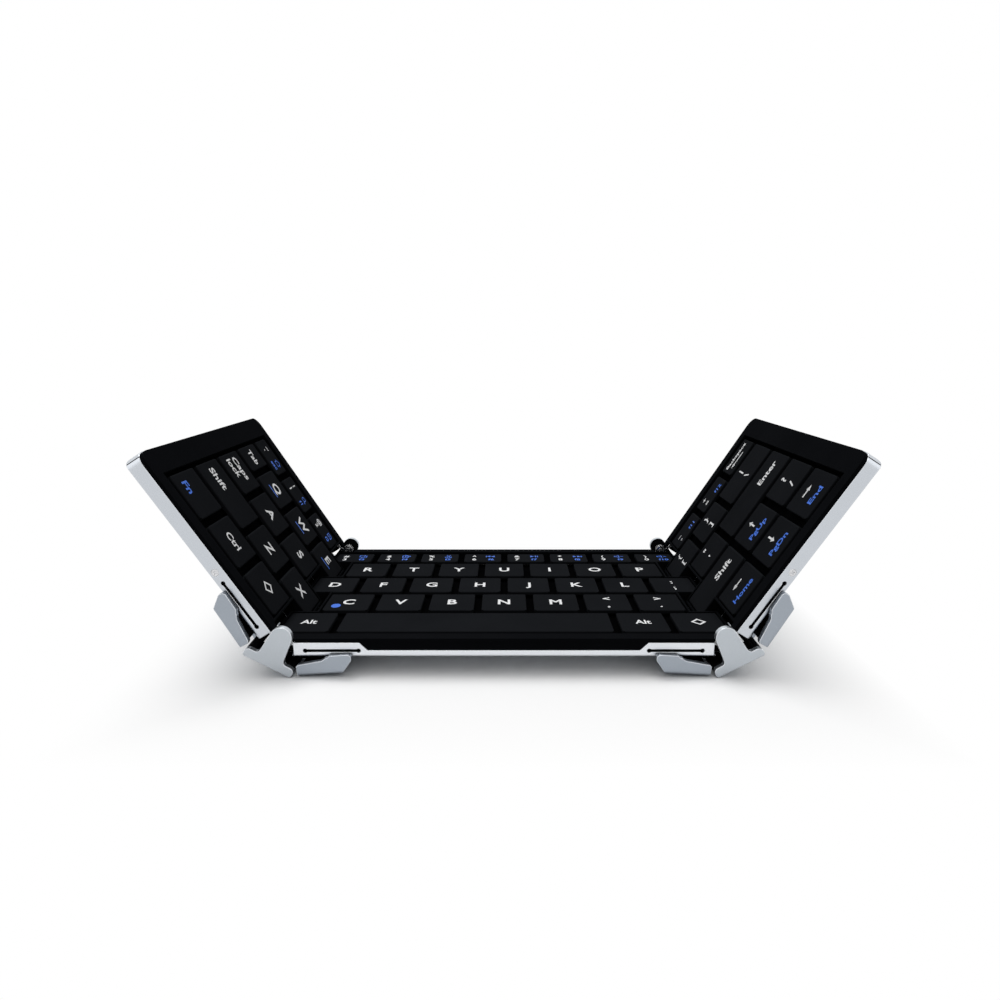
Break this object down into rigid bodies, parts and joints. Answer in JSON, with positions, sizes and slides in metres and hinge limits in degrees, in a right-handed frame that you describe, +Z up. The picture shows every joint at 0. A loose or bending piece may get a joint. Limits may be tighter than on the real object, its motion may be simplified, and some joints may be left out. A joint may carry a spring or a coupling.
{
  "type": "folding keyboard",
  "caption": "Slim wireless keyboard that folds in three on two double-pivot spine hinges, with island keys, a zigzag seam and metal trays.",
  "frame": {"origin": "on the ground below the middle of the centre panel, with both wings half raised", "axes": "+X to the typist's right, +Y away from the typist, +Z up"},
  "size_m": [0.1988, 0.0926, 0.0634],
  "materials": {
    "tray_metal": "bright satin anodised",
    "black_frame": "matte",
    "key_plate": "matte black paint",
    "dome_rubber": "translucent silicone",
    "spine_metal": "bead-blasted, bright bevels",
    "bracket_metal": "bead-blasted",
    "ribbon_film": "polyimide film",
    "battery_pouch": "foil pouch",
    "board": "solder mask",
    "key_caps": "matte",
    "bright_steel": "turned"
  },
  "bodies": {
    "centre": {"centre_tray": "tray_metal", "centre_frame": "black_frame", "centre_key_plate": "key_plate", "centre_domes": "dome_rubber", "left_centre_rings": "bright_steel", "right_centre_rings": "bright_steel"},
    "left_wing": {"left_tray": "tray_metal", "left_frame": "black_frame", "left_key_plate": "key_plate", "left_domes": "dome_rubber", "left_edge_screw": "bright_steel", "battery": "battery_pouch", "left_wing_rings": "bright_steel"},
    "right_wing": {"right_tray": "tray_metal", "right_frame": "black_frame", "right_key_plate": "key_plate", "right_domes": "dome_rubber", "right_edge_screw": "bright_steel", "main_board": "board", "usb_socket": "bright_steel", "right_wing_rings": "bright_steel"},
    "left_spine_body": {"left_spine": "spine_metal", "left_hinge_rods": "bright_steel", "left_pivot_pins": "bright_steel", "left_ribbon": "ribbon_film"},
    "left_centre_bracket_body": {"left_centre_bracket": "bracket_metal"},
    "left_wing_bracket_body": {"left_wing_bracket": "bracket_metal"},
    "right_spine_body": {"right_spine": "spine_metal", "right_hinge_rods": "bright_steel", "right_pivot_pins": "bright_steel", "right_ribbon": "ribbon_film"},
    "right_centre_bracket_body": {"right_centre_bracket": "bracket_metal"},
    "right_wing_bracket_body": {"right_wing_bracket": "bracket_metal"},
    "keys_grave_to_2_body": {"keys_grave_to_2": "key_caps"},
    "key_tab_body": {"key_tab": "key_caps"},
    "keys_q_to_e_body": {"keys_q_to_e": "key_caps"},
    "key_caps_lock_body": {"key_caps_lock": "key_caps"},
    "keys_a_s_body": {"keys_a_s": "key_caps"},
    "key_left_shift_body": {"key_left_shift": "key_caps"},
    "keys_z_x_body": {"keys_z_x": "key_caps"},
    "keys_left_bottom_body": {"keys_left_bottom": "key_caps"},
    "keys_3_to_0_body": {"keys_3_to_0": "key_caps"},
    "keys_r_to_p_body": {"keys_r_to_p": "key_caps"},
    "keys_d_to_semicolon_body": {"keys_d_to_semicolon": "key_caps"},
    "keys_c_to_period_body": {"keys_c_to_period": "key_caps"},
    "key_space_body": {"key_space": "key_caps"},
    "keys_alt_body": {"keys_alt": "key_caps"},
    "keys_minus_equal_body": {"keys_minus_equal": "key_caps"},
    "key_backspace_body": {"key_backspace": "key_caps"},
    "keys_brackets_body": {"keys_brackets": "key_caps"},
    "key_backslash_body": {"key_backslash": "key_caps"},
    "key_quote_body": {"key_quote": "key_caps"},
    "key_enter_body": {"key_enter": "key_caps"},
    "key_slash_body": {"key_slash": "key_caps"},
    "key_page_up_body": {"key_page_up": "key_caps"},
    "key_right_shift_body": {"key_right_shift": "key_caps"},
    "keys_right_bottom_body": {"keys_right_bottom": "key_caps"}
  },
  "joints": [
    {"name": "left_fold", "type": "hinge", "parent": "centre", "child": "left_wing", "pos_m": [-0.06244, 0, 0.01122], "axis": [0, 1, 0], "range_deg": [-58.5, 121.5], "deforming": ["left_ribbon"]},
    {"name": "left_spine_turn", "type": "hinge", "parent": "centre", "child": "left_spine_body", "pos_m": [-0.06244, 0, 0.01122], "axis": [0, 1, 0], "range_deg": [-29.25, 60.75]},
    {"name": "left_centre_bracket_turn", "type": "hinge", "parent": "left_spine_body", "child": "left_centre_bracket_body", "pos_m": [-0.0609, 0, 0.00159], "axis": [0, 1, 0], "range_deg": [-57.38, 27.63]},
    {"name": "left_wing_bracket_turn", "type": "hinge", "parent": "left_spine_body", "child": "left_wing_bracket_body", "pos_m": [-0.07145, 0, 0.00751], "axis": [0, 1, 0], "range_deg": [-27.63, 57.38]},
    {"name": "right_fold", "type": "hinge", "parent": "centre", "child": "right_wing", "pos_m": [0.06244, 0, 0.01122], "axis": [0, -1, 0], "range_deg": [-58.5, 121.5], "deforming": ["right_ribbon"]},
    {"name": "right_spine_turn", "type": "hinge", "parent": "centre", "child": "right_spine_body", "pos_m": [0.06244, 0, 0.01122], "axis": [0, -1, 0], "range_deg": [-29.25, 60.75]},
    {"name": "right_centre_bracket_turn", "type": "hinge", "parent": "right_spine_body", "child": "right_centre_bracket_body", "pos_m": [0.0609, 0, 0.00159], "axis": [0, -1, 0], "range_deg": [-57.38, 27.63]},
    {"name": "right_wing_bracket_turn", "type": "hinge", "parent": "right_spine_body", "child": "right_wing_bracket_body", "pos_m": [0.07145, 0, 0.00751], "axis": [0, -1, 0], "range_deg": [-27.63, 57.38]},
    {"name": "keys_grave_to_2_press", "type": "slide", "parent": "left_wing", "child": "keys_grave_to_2_body", "axis": [-0.8526, 0, -0.5225], "range_m": [0, 0.001], "stiffness_N_per_m": 500, "springref_m": -0.0003},
    {"name": "key_tab_press", "type": "slide", "parent": "left_wing", "child": "key_tab_body", "axis": [-0.8526, 0, -0.5225], "range_m": [0, 0.001], "stiffness_N_per_m": 500, "springref_m": -0.0003, "deforming": ["left_domes"]},
    {"name": "keys_q_to_e_press", "type": "slide", "parent": "left_wing", "child": "keys_q_to_e_body", "axis": [-0.8526, 0, -0.5225], "range_m": [0, 0.001], "stiffness_N_per_m": 500, "springref_m": -0.0003},
    {"name": "key_caps_lock_press", "type": "slide", "parent": "left_wing", "child": "key_caps_lock_body", "axis": [-0.8526, 0, -0.5225], "range_m": [0, 0.001], "stiffness_N_per_m": 500, "springref_m": -0.0003},
    {"name": "keys_a_s_press", "type": "slide", "parent": "left_wing", "child": "keys_a_s_body", "axis": [-0.8526, 0, -0.5225], "range_m": [0, 0.001], "stiffness_N_per_m": 500, "springref_m": -0.0003},
    {"name": "key_left_shift_press", "type": "slide", "parent": "left_wing", "child": "key_left_shift_body", "axis": [-0.8526, 0, -0.5225], "range_m": [0, 0.001], "stiffness_N_per_m": 500, "springref_m": -0.0003},
    {"name": "keys_z_x_press", "type": "slide", "parent": "left_wing", "child": "keys_z_x_body", "axis": [-0.8526, 0, -0.5225], "range_m": [0, 0.001], "stiffness_N_per_m": 500, "springref_m": -0.0003},
    {"name": "keys_left_bottom_press", "type": "slide", "parent": "left_wing", "child": "keys_left_bottom_body", "axis": [-0.8526, 0, -0.5225], "range_m": [0, 0.001], "stiffness_N_per_m": 500, "springref_m": -0.0003},
    {"name": "keys_3_to_0_press", "type": "slide", "parent": "centre", "child": "keys_3_to_0_body", "axis": [0, 0, -1], "range_m": [0, 0.001], "stiffness_N_per_m": 500, "springref_m": -0.0003},
    {"name": "keys_r_to_p_press", "type": "slide", "parent": "centre", "child": "keys_r_to_p_body", "axis": [0, 0, -1], "range_m": [0, 0.001], "stiffness_N_per_m": 500, "springref_m": -0.0003},
    {"name": "keys_d_to_semicolon_press", "type": "slide", "parent": "centre", "child": "keys_d_to_semicolon_body", "axis": [0, 0, -1], "range_m": [0, 0.001], "stiffness_N_per_m": 500, "springref_m": -0.0003},
    {"name": "keys_c_to_period_press", "type": "slide", "parent": "centre", "child": "keys_c_to_period_body", "axis": [0, 0, -1], "range_m": [0, 0.001], "stiffness_N_per_m": 500, "springref_m": -0.0003},
    {"name": "key_space_press", "type": "slide", "parent": "centre", "child": "key_space_body", "axis": [0, 0, -1], "range_m": [0, 0.001], "stiffness_N_per_m": 500, "springref_m": -0.0003, "deforming": ["centre_domes"]},
    {"name": "keys_alt_press", "type": "slide", "parent": "centre", "child": "keys_alt_body", "axis": [0, 0, -1], "range_m": [0, 0.001], "stiffness_N_per_m": 500, "springref_m": -0.0003},
    {"name": "keys_minus_equal_press", "type": "slide", "parent": "right_wing", "child": "keys_minus_equal_body", "axis": [0.8526, 0, -0.5225], "range_m": [0, 0.001], "stiffness_N_per_m": 500, "springref_m": -0.0003},
    {"name": "key_backspace_press", "type": "slide", "parent": "right_wing", "child": "key_backspace_body", "axis": [0.8526, 0, -0.5225], "range_m": [0, 0.001], "stiffness_N_per_m": 500, "springref_m": -0.0003},
    {"name": "keys_brackets_press", "type": "slide", "parent": "right_wing", "child": "keys_brackets_body", "axis": [0.8526, 0, -0.5225], "range_m": [0, 0.001], "stiffness_N_per_m": 500, "springref_m": -0.0003},
    {"name": "key_backslash_press", "type": "slide", "parent": "right_wing", "child": "key_backslash_body", "axis": [0.8526, 0, -0.5225], "range_m": [0, 0.001], "stiffness_N_per_m": 500, "springref_m": -0.0003},
    {"name": "key_quote_press", "type": "slide", "parent": "right_wing", "child": "key_quote_body", "axis": [0.8526, 0, -0.5225], "range_m": [0, 0.001], "stiffness_N_per_m": 500, "springref_m": -0.0003},
    {"name": "key_enter_press", "type": "slide", "parent": "right_wing", "child": "key_enter_body", "axis": [0.8526, 0, -0.5225], "range_m": [0, 0.001], "stiffness_N_per_m": 500, "springref_m": -0.0003, "deforming": ["right_domes"]},
    {"name": "key_slash_press", "type": "slide", "parent": "right_wing", "child": "key_slash_body", "axis": [0.8526, 0, -0.5225], "range_m": [0, 0.001], "stiffness_N_per_m": 500, "springref_m": -0.0003},
    {"name": "key_page_up_press", "type": "slide", "parent": "right_wing", "child": "key_page_up_body", "axis": [0.8526, 0, -0.5225], "range_m": [0, 0.001], "stiffness_N_per_m": 500, "springref_m": -0.0003},
    {"name": "key_right_shift_press", "type": "slide", "parent": "right_wing", "child": "key_right_shift_body", "axis": [0.8526, 0, -0.5225], "range_m": [0, 0.001], "stiffness_N_per_m": 500, "springref_m": -0.0003},
    {"name": "keys_right_bottom_press", "type": "slide", "parent": "right_wing", "child": "keys_right_bottom_body", "axis": [0.8526, 0, -0.5225], "range_m": [0, 0.001], "stiffness_N_per_m": 500, "springref_m": -0.0003}
  ],
  "couplings": [
    {"joint": "left_spine_turn", "follows": "left_fold", "ratio": 0.5},
    {"joint": "left_centre_bracket_turn", "follows": "left_fold", "ratio": -0.47222},
    {"joint": "left_wing_bracket_turn", "follows": "left_fold", "ratio": 0.47222},
    {"joint": "right_spine_turn", "follows": "right_fold", "ratio": 0.5},
    {"joint": "right_centre_bracket_turn", "follows": "right_fold", "ratio": -0.47222},
    {"joint": "right_wing_bracket_turn", "follows": "right_fold", "ratio": 0.47222}
  ]
}
